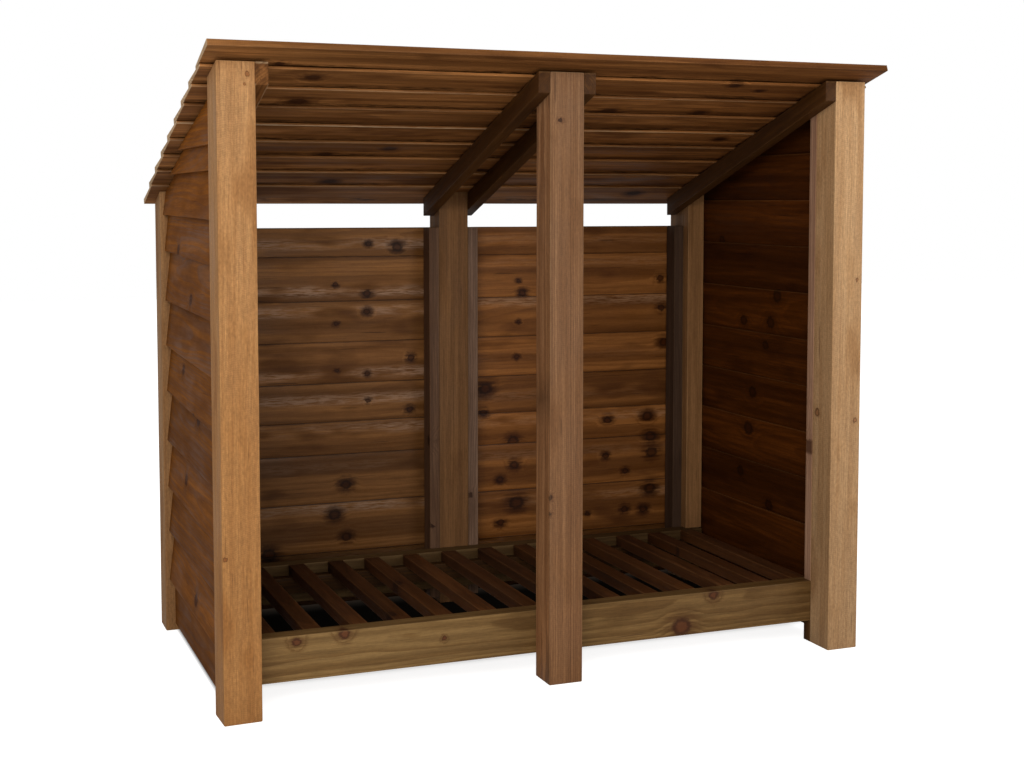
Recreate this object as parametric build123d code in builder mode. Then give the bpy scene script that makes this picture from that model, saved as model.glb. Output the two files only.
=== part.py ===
from build123d import *
from math import atan, cos, sin
import os

os.makedirs("parts", exist_ok=True)

# Log store with two bays open to the front and a single roof that falls to the back.
# All sizes are millimetres. X runs along the front, the front looks to -Y, Z is up.
# The origin lies on the ground, in the middle of the footprint of the roof.

# Frame
overall_width = 1368.0
overall_depth = 746.0
post_size = 72.0
front_height = 1213.0
roof_fall = 0.34

# Battens and rafters are cut from one section
batten_thickness = 25.0
batten_width = 44.0
rafter_depth = 40.0
rafter_setback = 28.0

# Tapered boards
board_width = 122.0
board_thin = 5.0
board_butt = 12.0

# Roof boards, counted from the front
roof_board_count = 9
roof_front_overhang = 50.0
roof_back_overhang = 13.0
roof_side_overhang = 22.0
roof_second_setback = 31.0
roof_top_board_front = 13.0
roof_top_board_back = 7.0
roof_top_board_lift = 3.5

# Floor
sill_thickness = 38.0
sill_height = 88.0
sill_clearance = 47.0
slat_count = 14
slat_width = 36.0
slat_thickness = 24.0
slat_margin = 40.0
slat_shift = 14.0
ledger_thickness = 25.0
ledger_height = 38.0

# Side walls
side_board_step = 103.5
side_board_count = 11
side_first_butt = 118.0
kick_board_bottom = 15.0
kick_board_thickness = 12.0

# Back walls
back_wall_bottom = 15.0
back_wall_clearance = 26.5
back_board_count = 9

# Angle of the roof and the plane on which its boards lie
roof_angle = atan(roof_fall)
roof_cos = cos(roof_angle)
roof_sin = sin(roof_angle)
roof_slope_length = (overall_depth + roof_back_overhang) / roof_cos


def lifts_from_last(count, overlap):
    """Height of each butt's inner corner above the bearing plane, first board first."""
    lifts = [0.0]
    for _ in range(count - 1):
        outer_slope = (lifts[0] + board_butt - board_thin) / board_width
        lifts.insert(0, board_thin + outer_slope * overlap)
    return lifts


# Step between the roof boards, from the second one's thin edge to the last one's butt
roof_pitch_step = (roof_slope_length - board_width - roof_second_setback) / (roof_board_count - 2)
roof_lifts = lifts_from_last(roof_board_count, board_width - roof_pitch_step)
second_butt = roof_second_setback + board_width
roof_butts = [second_butt + roof_pitch_step * i for i in range(roof_board_count - 1)]

# The top board is turned round, with its thick edge to the front. Its back edge rests on the
# second board, and its front edge is lifted a little off the plane of the rafters.
second_outer_slope = (roof_lifts[1] + board_butt - board_thin) / board_width
top_board_front = -roof_front_overhang / roof_cos
top_board_back = top_board_front + board_width
top_front_above = roof_top_board_lift
top_back_above = board_thin + (top_board_back - roof_second_setback) * second_outer_slope

# Depth of the footprint and the place of the posts' front face in it
roof_front_reach = top_board_front * roof_cos + top_front_above * roof_sin
roof_back_reach = roof_butts[-1] * roof_cos + board_butt * roof_sin
front_y = -(roof_front_reach + roof_back_reach) / 2
back_y = front_y + overall_depth
left_x = -overall_width / 2
right_x = overall_width / 2
post_front_inner_y = front_y + post_size
post_back_inner_y = back_y - post_size
centre_left_x = -post_size / 2
centre_right_x = post_size / 2
floor_top = sill_clearance + sill_height


def roof_z(y):
    """Height of the bearing plane of the roof above a place in the depth."""
    return front_height - (y - front_y) * roof_fall


def roof_point(along, above):
    """Point of the section, from a distance down the slope and a height above the plane."""
    y = front_y + along * roof_cos + above * roof_sin
    z = front_height - along * roof_sin + above * roof_cos
    return (y, z)


def section_post(y_start, y_end, z_start):
    """Corners of an upright whose top follows the roof."""
    return [
        (y_start, z_start),
        (y_end, z_start),
        (y_end, roof_z(y_end)),
        (y_start, roof_z(y_start)),
    ]


# Posts, three in front and three behind
posts = {
    "post_front_left": (left_x, front_y),
    "post_front_centre": (centre_left_x, front_y),
    "post_front_right": (right_x - post_size, front_y),
    "post_back_left": (left_x, post_back_inner_y),
    "post_back_centre": (centre_left_x, post_back_inner_y),
    "post_back_right": (right_x - post_size, post_back_inner_y),
}
for post_name, (post_x, post_y) in posts.items():
    with BuildPart() as post:
        with BuildSketch(Plane.YZ.offset(post_x)):
            with BuildLine():
                Polyline(*section_post(post_y, post_y + post_size, 0), close=True)
            make_face()
        extrude(amount=post_size)
    post.part.label = post_name
    export_step(post.part, f"parts/{post_name}.step")

# Rafters, on the inner faces of the outer posts and on both sides of the centre posts
rafter_drop = rafter_depth / roof_cos
rafter_end = back_y - rafter_setback
rafters = {
    "rafter_left": left_x + post_size,
    "rafter_centre_left": centre_left_x - batten_thickness,
    "rafter_centre_right": centre_right_x,
    "rafter_right": right_x - post_size - batten_thickness,
}
for rafter_name, rafter_x in rafters.items():
    with BuildPart() as rafter:
        with BuildSketch(Plane.YZ.offset(rafter_x)):
            with BuildLine():
                Polyline(
                    (front_y, roof_z(front_y) - rafter_drop),
                    (rafter_end, roof_z(rafter_end) - rafter_drop),
                    (rafter_end, roof_z(rafter_end)),
                    (front_y, roof_z(front_y)),
                    close=True,
                )
            make_face()
        extrude(amount=batten_thickness)
    rafter.part.label = rafter_name
    export_step(rafter.part, f"parts/{rafter_name}.step")

# Floor frame: a sill behind the front posts and one before the back posts
batten_outer = post_size - batten_width
outer_slope_side = (board_butt - board_thin) / board_width
side_overlap = board_width - side_board_step
side_lift = (board_thin + outer_slope_side * side_overlap) / (1 - side_overlap / board_width)
kick_outer = batten_outer - side_lift
kick_inner = kick_outer + kick_board_thickness
sill_length = overall_width - 2 * kick_inner
front_sill_y = post_front_inner_y + sill_thickness / 2
back_sill_y = post_back_inner_y - sill_thickness / 2

with BuildPart() as sill_front:
    with Locations((0, front_sill_y, sill_clearance + sill_height / 2)):
        Box(sill_length, sill_thickness, sill_height)
sill_front.part.label = "sill_front"
export_step(sill_front.part, "parts/sill_front.step")

with BuildPart() as sill_back:
    with Locations((0, back_sill_y, sill_clearance + sill_height / 2)):
        Box(sill_length, sill_thickness, sill_height)
sill_back.part.label = "sill_back"
export_step(sill_back.part, "parts/sill_back.step")

# Short feet under the ends of the sills, in line with the side battens
foot_width = post_size - kick_inner
foot_x = overall_width / 2 - kick_inner - foot_width / 2
front_foot_y = post_front_inner_y + batten_thickness / 2
back_foot_y = post_back_inner_y - batten_thickness / 2

with BuildPart() as sill_feet:
    with Locations(
        (-foot_x, front_foot_y, sill_clearance / 2),
        (foot_x, front_foot_y, sill_clearance / 2),
        (-foot_x, back_foot_y, sill_clearance / 2),
        (foot_x, back_foot_y, sill_clearance / 2),
    ):
        Box(foot_width, batten_thickness, sill_clearance)
sill_feet.part.label = "sill_feet"
export_step(sill_feet.part, "parts/sill_feet.step")

# Ledgers on the sills' inner faces, which carry the slats
ledger_length = overall_width - 2 * post_size
ledger_z = floor_top - slat_thickness - ledger_height / 2
slat_start = post_front_inner_y + sill_thickness
slat_end = post_back_inner_y - sill_thickness

with BuildPart() as ledger_front:
    with Locations((0, slat_start + ledger_thickness / 2, ledger_z)):
        Box(ledger_length, ledger_thickness, ledger_height)
ledger_front.part.label = "ledger_front"
export_step(ledger_front.part, "parts/ledger_front.step")

with BuildPart() as ledger_back:
    with Locations((0, slat_end - ledger_thickness / 2, ledger_z)):
        Box(ledger_length, ledger_thickness, ledger_height)
ledger_back.part.label = "ledger_back"
export_step(ledger_back.part, "parts/ledger_back.step")

# Floor slats, front to back, level with the sills
slat_length = slat_end - slat_start
slat_step = (sill_length - slat_width - 2 * slat_margin) / (slat_count - 1)
with BuildPart() as floor_slats:
    with Locations((slat_shift, (slat_start + slat_end) / 2, floor_top - slat_thickness / 2)):
        with GridLocations(slat_step, 1, slat_count, 1):
            Box(slat_width, slat_length, slat_thickness)
floor_slats.part.label = "floor_slats"
export_step(floor_slats.part, "parts/floor_slats.step")

# Battens of the side walls, which stand on the sills behind and before the corner posts
side_battens = {
    "batten_left_front": (left_x + batten_outer, post_front_inner_y),
    "batten_left_back": (left_x + batten_outer, post_back_inner_y - batten_thickness),
    "batten_right_front": (right_x - post_size, post_front_inner_y),
    "batten_right_back": (right_x - post_size, post_back_inner_y - batten_thickness),
}
for batten_name, (batten_x, batten_y) in side_battens.items():
    with BuildPart() as side_batten:
        with BuildSketch(Plane.YZ.offset(batten_x)):
            with BuildLine():
                Polyline(
                    *section_post(batten_y, batten_y + batten_thickness, floor_top), close=True
                )
            make_face()
        extrude(amount=batten_width)
    side_batten.part.label = batten_name
    export_step(side_batten.part, f"parts/{batten_name}.step")

# The back walls end below the rafters and leave a gap for air under the roof
back_wall_top = roof_z(rafter_end) - rafter_drop - back_wall_clearance

# Battens of the back walls, two to a bay, on edge against the back posts
back_battens = {
    "batten_back_1": left_x + post_size,
    "batten_back_2": centre_left_x - batten_thickness,
    "batten_back_3": centre_right_x,
    "batten_back_4": right_x - post_size - batten_thickness,
}
back_batten_height = back_wall_top - back_wall_bottom
for batten_name, batten_x in back_battens.items():
    with BuildPart() as back_batten:
        with Locations(
            (
                batten_x + batten_thickness / 2,
                post_back_inner_y + batten_width / 2,
                back_wall_bottom + back_batten_height / 2,
            )
        ):
            Box(batten_thickness, batten_width, back_batten_height)
    back_batten.part.label = batten_name
    export_step(back_batten.part, f"parts/{batten_name}.step")

# Flat boards near the ground, on the ends of the sills and under the side walls
kick_top = side_first_butt
kick_length = post_back_inner_y - post_front_inner_y
kick_y = (post_back_inner_y + post_front_inner_y) / 2
kick_height = kick_top - kick_board_bottom
kick_x = overall_width / 2 - kick_outer - kick_board_thickness / 2
for kick_name, kick_side in {"kick_board_left": -1, "kick_board_right": 1}.items():
    with BuildPart() as kick_board:
        with Locations((kick_side * kick_x, kick_y, kick_board_bottom + kick_height / 2)):
            Box(kick_board_thickness, kick_length, kick_height)
    kick_board.part.label = kick_name
    export_step(kick_board.part, f"parts/{kick_name}.step")


def weatherboard_outline(butts, lifts, top):
    """Corners of a wall of tapered boards: distance out from its back face, height."""
    corners = [(0.0, butts[0]), (lifts[0] + board_butt, butts[0])]
    for i in range(1, len(butts)):
        run = (butts[i] - butts[i - 1]) / board_width
        outer = lifts[i - 1] + board_butt
        corners.append((outer + (board_thin - outer) * run, butts[i]))
        corners.append((lifts[i] + board_butt, butts[i]))
    outer = lifts[-1] + board_butt
    run = (top - butts[-1]) / board_width
    corners.append((outer + (board_thin - outer) * run, top))
    corners.append((0.0, top))
    return corners


# Side walls of overlapping tapered boards, trimmed to the fall of the roof
side_butts = [side_first_butt + side_board_step * i for i in range(side_board_count)]
side_lifts = [side_lift] * side_board_count
side_top = side_butts[-1] + board_width
for wall_name, wall_side in {"cladding_left": -1, "cladding_right": 1}.items():
    wall_x = wall_side * (overall_width / 2 - batten_outer)
    outline = [
        (wall_x + wall_side * out, height)
        for out, height in weatherboard_outline(side_butts, side_lifts, side_top)
    ]
    with BuildPart() as side_wall:
        with BuildSketch(Plane.XZ.offset(-post_front_inner_y)):
            with BuildLine():
                Polyline(*outline, close=True)
            make_face()
        extrude(amount=-kick_length)
        with BuildSketch(Plane.YZ.offset(-overall_width)):
            with BuildLine():
                Polyline(
                    (front_y, roof_z(front_y)),
                    (back_y, roof_z(back_y)),
                    (back_y, side_top + board_width),
                    (front_y, side_top + board_width),
                    close=True,
                )
            make_face()
        extrude(amount=2 * overall_width, mode=Mode.SUBTRACT)
    side_wall.part.label = wall_name
    export_step(side_wall.part, f"parts/{wall_name}.step")

# Back walls of the two bays
back_board_step = (back_wall_top - back_wall_bottom - board_width) / (back_board_count - 1)
back_overlap = board_width - back_board_step
back_lifts = list(reversed(lifts_from_last(back_board_count, back_overlap)))
back_butts = [back_wall_bottom + back_board_step * i for i in range(back_board_count)]
back_wall_y = post_back_inner_y + batten_width
back_wall_length = centre_left_x - left_x - post_size
back_outline = [
    (back_wall_y + out, height)
    for out, height in weatherboard_outline(back_butts, back_lifts, back_wall_top)
]
back_walls = {"cladding_back_left": left_x + post_size, "cladding_back_right": centre_right_x}
for wall_name, wall_x in back_walls.items():
    with BuildPart() as back_wall:
        with BuildSketch(Plane.YZ.offset(wall_x)):
            with BuildLine():
                Polyline(*back_outline, close=True)
            make_face()
        extrude(amount=back_wall_length)
    back_wall.part.label = wall_name
    export_step(back_wall.part, f"parts/{wall_name}.step")

# Roof boards, each over the thin edge of the one behind it
roof_length = overall_width + 2 * roof_side_overhang
for board_number in range(1, roof_board_count + 1):
    if board_number == 1:
        section = [
            roof_point(top_board_front, top_front_above),
            roof_point(top_board_back, top_back_above),
            roof_point(top_board_back, top_back_above + roof_top_board_back),
            roof_point(top_board_front, top_front_above + roof_top_board_front),
        ]
    else:
        lift = roof_lifts[board_number - 1]
        butt_along = roof_butts[board_number - 2]
        thin_along = butt_along - board_width
        section = [
            roof_point(thin_along, 0),
            roof_point(butt_along, lift),
            roof_point(butt_along, lift + board_butt),
            roof_point(thin_along, board_thin),
        ]
    with BuildPart() as roof_board:
        with BuildSketch(Plane.YZ.offset(-roof_length / 2)):
            with BuildLine():
                Polyline(*section, close=True)
            make_face()
        extrude(amount=roof_length)
    roof_board.part.label = f"roof_board_{board_number}"
    export_step(roof_board.part, f"parts/roof_board_{board_number}.step")
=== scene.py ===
"""Looks of an open-fronted timber log store, built over the frame of its solids."""

import logging
import math
import random
from dataclasses import dataclass, field
from enum import Enum

import bpy
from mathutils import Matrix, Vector


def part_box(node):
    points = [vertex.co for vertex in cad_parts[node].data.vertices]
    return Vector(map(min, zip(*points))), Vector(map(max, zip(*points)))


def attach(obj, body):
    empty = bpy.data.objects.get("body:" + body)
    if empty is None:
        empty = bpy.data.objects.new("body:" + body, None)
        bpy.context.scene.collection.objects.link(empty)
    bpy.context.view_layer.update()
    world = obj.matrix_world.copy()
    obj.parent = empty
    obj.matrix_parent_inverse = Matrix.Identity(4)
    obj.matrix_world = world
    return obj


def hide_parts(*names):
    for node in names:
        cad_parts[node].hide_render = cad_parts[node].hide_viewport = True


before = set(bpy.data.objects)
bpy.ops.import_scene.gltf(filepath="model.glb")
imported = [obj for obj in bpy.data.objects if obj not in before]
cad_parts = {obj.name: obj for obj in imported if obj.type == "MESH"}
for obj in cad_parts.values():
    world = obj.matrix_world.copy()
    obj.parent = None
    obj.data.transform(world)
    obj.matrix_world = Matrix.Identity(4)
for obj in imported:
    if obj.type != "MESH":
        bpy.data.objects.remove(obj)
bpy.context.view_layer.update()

logging.basicConfig(level=logging.INFO, format="%(name)s: %(message)s")
LOG = logging.getLogger("log_store")

ROOF_FALL = 0.34
ROOF_ANGLE = math.atan(ROOF_FALL)
DOWN_SLOPE = Vector((0.0, math.cos(ROOF_ANGLE), -math.sin(ROOF_ANGLE)))
ROOF_UP = Vector((0.0, math.sin(ROOF_ANGLE), math.cos(ROOF_ANGLE)))
X_AXIS = Vector((1.0, 0.0, 0.0))
Y_AXIS = Vector((0.0, 1.0, 0.0))
Z_AXIS = Vector((0.0, 0.0, 1.0))

# The rafters' tops run through the front top edge of the front posts.
FRONT_TOP = Vector((0.0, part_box("post_front_left")[0].y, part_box("post_front_left")[1].z))
UNDER_ROOF = (FRONT_TOP, ROOF_UP)

# Vectors written on each timber's points for its finish to read; the fifth carries painted light with its
# lightness, and the sixth the painted band with the worn edges.
VECTOR_LABELS = ("grain", "heart", "place", "half", "tone_and_light", "edge_wear_and_sheen")

Triple = tuple[float, float, float]
Plane = tuple[Vector, Vector]
Knot = tuple[float, float, float, float]


class Sawing(Enum):
    """How a timber was cut from its log, which sets the figure on its faces."""

    HEART = "near the heart, arched figure"
    FLAT = "flat sawn, wide arches"
    RIFT = "rift sawn, slanted lines"
    QUARTER = "quarter sawn, straight lines"


class Side(Enum):
    """Left and right as seen from the open front."""

    LEFT = -1
    RIGHT = 1


class Wiring:
    """Short calls for the nodes and links of one node tree."""

    def __init__(self, tree: bpy.types.NodeTree) -> None:
        """Keeps the tree."""
        self.tree = tree

    def node(self, kind: str, **settings: object) -> bpy.types.Node:
        """Adds a node.

        Args:
            kind: Name of the node's type without its ShaderNode prefix.
            settings: Values of the node's own properties.

        Returns:
            The new node.
        """
        made = self.tree.nodes.new(kind if kind.startswith("NodeGroup") else f"ShaderNode{kind}")
        for key, value in settings.items():
            setattr(made, key, value)
        return made

    def feed(self, target: bpy.types.NodeSocket, source: object) -> None:
        """Links a socket to an input, or sets the input to a value.

        Args:
            target: The input.
            source: A socket, or a value of the input's kind.
        """
        if isinstance(source, bpy.types.NodeSocket):
            self.tree.links.new(source, target)
        else:
            target.default_value = source

    def group(self, shared: bpy.types.NodeTree, **inputs: object) -> bpy.types.Node:
        """Adds a shared node group and feeds its inputs.

        Args:
            shared: The group.
            inputs: Sockets or values by the input's name, with an underscore for each space.

        Returns:
            The group's node.
        """
        made = self.node("Group", node_tree=shared)
        for label, source in inputs.items():
            self.feed(made.inputs[label.replace("_", " ")], source)
        return made

    def attribute(self, label: str) -> bpy.types.Node:
        """Adds a node that reads one of the timber's attributes."""
        return self.node("Attribute", attribute_name=label)

    def math(self, operation: str, *values: object, clamp: bool = False) -> bpy.types.NodeSocket:
        """Adds a Math node.

        Args:
            operation: Name of the operation.
            values: Sockets or numbers for its inputs.
            clamp: Whether the result is held between 0 and 1.

        Returns:
            The result's socket.
        """
        made = self.node("Math", operation=operation, use_clamp=clamp)
        for index, value in enumerate(values):
            self.feed(made.inputs[index], value)
        return made.outputs[0]

    def vector(self, operation: str, *values: object) -> bpy.types.NodeSocket:
        """Adds a Vector Math node.

        Args:
            operation: Name of the operation.
            values: Sockets or vectors for its inputs.

        Returns:
            The result's socket, which is the number for a length.
        """
        made = self.node("VectorMath", operation=operation)
        for index, value in enumerate(values):
            self.feed(made.inputs[index], value)
        return made.outputs["Value" if operation == "LENGTH" else "Vector"]

    def ramp(self, value: object, low: float, high: float) -> bpy.types.NodeSocket:
        """Adds a smooth step from 0 at low to 1 at high, or falling where low is over high.

        Args:
            value: Socket that is read.
            low: Value that gives 0.
            high: Value that gives 1.

        Returns:
            The result's socket.
        """
        made = self.node("MapRange", interpolation_type="SMOOTHSTEP")
        self.feed(made.inputs["Value"], value)
        made.inputs["From Min"].default_value = min(low, high)
        made.inputs["From Max"].default_value = max(low, high)
        made.inputs["To Min"].default_value = 0.0 if low < high else 1.0
        made.inputs["To Max"].default_value = 1.0 if low < high else 0.0
        return made.outputs[0]

    def noise(
        self, place: object, waves: Triple, detail: float = 2.0, rough: float = 0.5
    ) -> bpy.types.NodeSocket:
        """Adds a 3-D noise.

        Args:
            place: Vector that is read.
            waves: Waves per metre along each of the vector's axes.
            detail: Octaves.
            rough: Share of the finer octaves.

        Returns:
            The noise's socket, about 0.5 in the middle.
        """
        made = self.node("TexNoise", noise_dimensions="3D")
        self.feed(made.inputs["Vector"], self.vector("MULTIPLY", place, waves))
        made.inputs["Scale"].default_value = 1.0
        made.inputs["Detail"].default_value = detail
        made.inputs["Roughness"].default_value = rough
        return made.outputs["Fac"]

    def mix(self, share: object, first: object, second: object, blend: str = "MIX") -> bpy.types.NodeSocket:
        """Adds a colour mix.

        Args:
            share: Socket or number from 0 to 1.
            first: Colour at 0.
            second: Colour at 1.
            blend: Blend type.

        Returns:
            The mixed colour's socket.
        """
        made = self.node("Mix", data_type="RGBA", blend_type=blend)
        self.feed(made.inputs[0], share)
        self.feed(made.inputs[6], first)
        self.feed(made.inputs[7], second)
        return made.outputs[2]

    def scale_colour(self, colour: object, factor: object) -> bpy.types.NodeSocket:
        """Multiplies a colour by a number's socket."""
        return self.mix(1.0, colour, self.join(factor, factor, factor), "MULTIPLY")

    def swing(self, noise: object, reach: object) -> bpy.types.NodeSocket:
        """Turns a noise into a shift to both sides of 0, as wide as the reach."""
        return self.math("MULTIPLY", self.math("SUBTRACT", noise, 0.5), reach)

    def parts(self, place: object) -> tuple[bpy.types.NodeSocket, ...]:
        """Splits a vector into its three numbers.

        Args:
            place: The vector.

        Returns:
            The sockets of x, y and z.
        """
        made = self.node("SeparateXYZ")
        self.feed(made.inputs[0], place)
        return tuple(made.outputs)

    def join(self, x: object, y: object, z: object) -> bpy.types.NodeSocket:
        """Joins three numbers into a vector.

        Args:
            x: Socket or number.
            y: Socket or number.
            z: Socket or number.

        Returns:
            The vector's socket.
        """
        made = self.node("CombineXYZ")
        for index, value in enumerate((x, y, z)):
            self.feed(made.inputs[index], value)
        return made.outputs[0]


@dataclass
class TimberGroups:
    """Node groups that every timber finish shares. Waves are per metre along, across and into the timber."""

    knot_cell: Triple = (0.19, 0.085, 0.5)
    knot_stretch: float = 0.72
    knot_outline_waves: Triple = (130.0, 190.0, 190.0)
    knot_outline_depth: float = 0.0045
    swing_waves: Triple = (2.6, 11.0, 11.0)
    ripple_waves: Triple = (14.0, 60.0, 60.0)
    ripple_depth: float = 0.0022
    bulge_depth: float = 0.013
    year_waves: float = 0.37
    year_spread: float = 2.4
    fibre_waves: Triple = (26.0, 560.0, 560.0)
    streak_waves: Triple = (3.2, 85.0, 85.0)
    blotch_waves: Triple = (5.0, 17.0, 17.0)
    band_waves: Triple = (0.9, 27.0, 27.0)
    mottle_waves: Triple = (150.0, 250.0, 250.0)
    crack_waves: Triple = (7.0, 170.0, 170.0)
    wisp_waves: Triple = (30.0, 330.0, 330.0)
    saw_pitch: float = 1500.0
    saw_wobble: float = 26.0
    edge_waves: Triple = (35.0, 90.0, 90.0)
    edge_width: float = 0.003
    knots: bpy.types.NodeTree = field(init=False)
    spot: bpy.types.NodeTree = field(init=False)
    rings: bpy.types.NodeTree = field(init=False)
    fibres: bpy.types.NodeTree = field(init=False)
    edges: bpy.types.NodeTree = field(init=False)

    def __post_init__(self) -> None:
        """Builds the groups once."""
        self.knots = self.make_knots()
        self.spot = self.make_spot()
        self.rings = self.make_rings()
        self.fibres = self.make_fibres()
        self.edges = self.make_edges()

    def start(self, name: str, inputs: dict[str, str]) -> tuple[Wiring, dict[str, bpy.types.NodeSocket]]:
        """Starts a group with its named inputs.

        Args:
            name: Name of the group.
            inputs: Kind of each input, "Float" or "Vector", by its name.

        Returns:
            The wiring and the sockets that bring the inputs in.
        """
        tree = bpy.data.node_groups.new(name, "ShaderNodeTree")
        for label, kind in inputs.items():
            tree.interface.new_socket(name=label, in_out="INPUT", socket_type=f"NodeSocket{kind}")
        wire = Wiring(tree)
        given = wire.node("NodeGroupInput")
        return wire, {label: given.outputs[label] for label in inputs}

    def end(self, wire: Wiring, results: dict[str, object]) -> bpy.types.NodeTree:
        """Gives a group its named outputs.

        Args:
            wire: The group's wiring.
            results: The socket that each output gives, by the output's name.

        Returns:
            The finished group.
        """
        for label in results:
            wire.tree.interface.new_socket(name=label, in_out="OUTPUT", socket_type="NodeSocketFloat")
        out = wire.node("NodeGroupOutput")
        for label, source in results.items():
            wire.feed(out.inputs[label], source)
        return wire.tree

    def make_knots(self) -> bpy.types.NodeTree:
        """Builds the round branch knots that are spread over a board.

        Returns:
            The group, which gives the knots' cores and rims and the pull that they have on the rings.
        """
        wire, given = self.start("branch_knots", {"Grain": "Vector", "Share": "Float", "Radius": "Float"})
        along, across, _ = self.knot_cell
        scaled = wire.vector("DIVIDE", given["Grain"], self.knot_cell)
        cells = wire.node("TexVoronoi", voronoi_dimensions="3D", feature="F1")
        wire.feed(cells.inputs["Vector"], scaled)
        cells.inputs["Scale"].default_value = 1.0
        cells.inputs["Randomness"].default_value = 0.8
        away = wire.vector("SUBTRACT", scaled, cells.outputs["Position"])
        reach = wire.vector("LENGTH", wire.vector("MULTIPLY", away, (along * self.knot_stretch, across, 0.0)))
        outline = wire.noise(given["Grain"], self.knot_outline_waves, 3.0)
        reach = wire.math("ADD", reach, wire.swing(outline, self.knot_outline_depth))
        chance, size, _ = wire.parts(cells.outputs["Color"])
        there = wire.math("LESS_THAN", chance, given["Share"])
        radius = wire.math("MULTIPLY", given["Radius"], wire.math("MULTIPLY_ADD", size, 1.1, 0.35))
        ratio = wire.math("DIVIDE", reach, radius)
        rim = wire.math("MULTIPLY", wire.ramp(ratio, 0.6, 1.0), wire.ramp(ratio, 1.7, 1.05))
        return self.end(wire, {
            "Core": wire.math("MULTIPLY", wire.ramp(ratio, 1.15, 0.75), there),
            "Rim": wire.math("MULTIPLY", rim, there),
            "Pull": wire.math("MULTIPLY", wire.ramp(ratio, 4.6, 0.4), there),
        })

    def make_spot(self) -> bpy.types.NodeTree:
        """Builds one knot at a given place, added to the knots that come in.

        Returns:
            The group, which gives the same masks as the scattered knots.
        """
        wire, given = self.start("single_knot", {
            "Point": "Vector", "Centre": "Vector", "Squash": "Vector", "Ragged": "Float", "Radius": "Float",
            "Core": "Float", "Rim": "Float", "Pull": "Float",
        })
        away = wire.vector("SUBTRACT", given["Point"], given["Centre"])
        reach = wire.vector("LENGTH", wire.vector("MULTIPLY", away, given["Squash"]))
        ratio = wire.math("DIVIDE", wire.math("ADD", reach, given["Ragged"]), given["Radius"])
        own = {
            "Core": wire.ramp(ratio, 1.15, 0.7),
            "Rim": wire.math("MULTIPLY", wire.ramp(ratio, 0.55, 1.0), wire.ramp(ratio, 1.7, 1.05)),
            "Pull": wire.ramp(ratio, 4.4, 0.4),
        }
        most = {label: wire.math("MAXIMUM", mask, given[label]) for label, mask in own.items()}
        return self.end(wire, most)

    def make_rings(self) -> bpy.types.NodeTree:
        """Builds the growth rings round the heart of the log, cut by whichever face shows them.

        Returns:
            The group, which gives the mask of the dark late wood.
        """
        wire, given = self.start("growth_rings", {
            "Heart": "Vector", "Grain": "Vector", "Pull": "Float", "Ring width": "Float", "Wander": "Float",
        })
        _, across, deep = wire.parts(given["Heart"])
        radius = wire.vector("LENGTH", wire.join(0.0, across, deep))
        swing = wire.swing(wire.noise(given["Grain"], self.swing_waves), given["Wander"])
        ripple = wire.swing(wire.noise(given["Grain"], self.ripple_waves), self.ripple_depth)
        bulge = wire.math("MULTIPLY", given["Pull"], self.bulge_depth)
        radius = wire.math("ADD", wire.math("ADD", radius, swing), wire.math("ADD", ripple, bulge))
        years = wire.math("DIVIDE", radius, given["Ring width"])
        spread = wire.node("TexNoise", noise_dimensions="1D")
        wire.feed(spread.inputs["W"], wire.math("MULTIPLY", years, self.year_waves))
        spread.inputs["Scale"].default_value = 1.0
        spread.inputs["Detail"].default_value = 1.0
        years = wire.math("ADD", years, wire.math("MULTIPLY", spread.outputs["Fac"], self.year_spread))
        share = wire.math("FRACT", years)
        late = wire.math("MULTIPLY", wire.ramp(share, 0.25, 0.9), wire.ramp(share, 1.0, 0.93))
        return self.end(wire, {"Late": late})

    def make_fibres(self) -> bpy.types.NodeTree:
        """Builds fine fibres, broad streaks, blotches of stain and the saw's marks across a face.

        Returns:
            The group, which gives a mask or a noise for each of them.
        """
        wire, given = self.start("sawn_fibres", {"Grain": "Vector", "Seed": "Float"})
        grain = wire.vector("ADD", given["Grain"], wire.join(given["Seed"], 0.0, 0.0))
        along, _, _ = wire.parts(grain)
        streak = wire.noise(grain, self.streak_waves, 2.0, 0.6)
        blotch = wire.noise(grain, self.blotch_waves, 2.0, 0.6)
        wobble = wire.math("MULTIPLY", streak, self.saw_wobble)
        strokes = wire.math("ADD", wire.math("MULTIPLY", along, self.saw_pitch), wobble)
        wave = wire.math("MULTIPLY_ADD", wire.math("SINE", strokes), 0.5, 0.5)
        wisps = wire.ramp(wire.noise(grain, self.wisp_waves, 2.0, 0.7), 0.34, 0.62)
        return self.end(wire, {
            "Fibre": wire.noise(grain, self.fibre_waves, 2.0, 0.7),
            "Streak": streak,
            "Blotch": blotch,
            "Saw": wire.math("MULTIPLY", wave, wire.ramp(blotch, 0.36, 0.62)),
            "Check": wire.ramp(wire.noise(grain, self.crack_waves, 1.0), 0.72, 0.78),
            "Band": wire.noise(grain, self.band_waves, 1.0),
            # Fine streaks of the painted band of highlight and shadow.
            "Sheen": wire.math("MULTIPLY", wisps, wire.ramp(blotch, 0.34, 0.58)),
            "Mottle": wire.noise(grain, self.mottle_waves, 1.0),
        })

    def make_edges(self) -> bpy.types.NodeTree:
        """Builds the masks of a timber's worn long edges and of its sawn ends.

        Returns:
            The group, which gives both masks.
        """
        wire, given = self.start("board_edges", {"Place": "Vector", "Half": "Vector", "Grain": "Vector"})
        inward = wire.vector("SUBTRACT", given["Half"], wire.vector("ABSOLUTE", given["Place"]))
        from_end, from_side, from_face = wire.parts(inward)
        uneven = wire.math("MULTIPLY_ADD", wire.noise(given["Grain"], self.edge_waves, 3.0), 2.0, 0.05)
        width = wire.math("MULTIPLY", self.edge_width, uneven)
        corner = wire.math("MAXIMUM", from_side, from_face)
        return self.end(wire, {
            "Worn": wire.math("SUBTRACT", 1.0, wire.math("DIVIDE", corner, width), clamp=True),
            "End": wire.ramp(from_end, 0.0012, 0.0004),
        })


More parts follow.
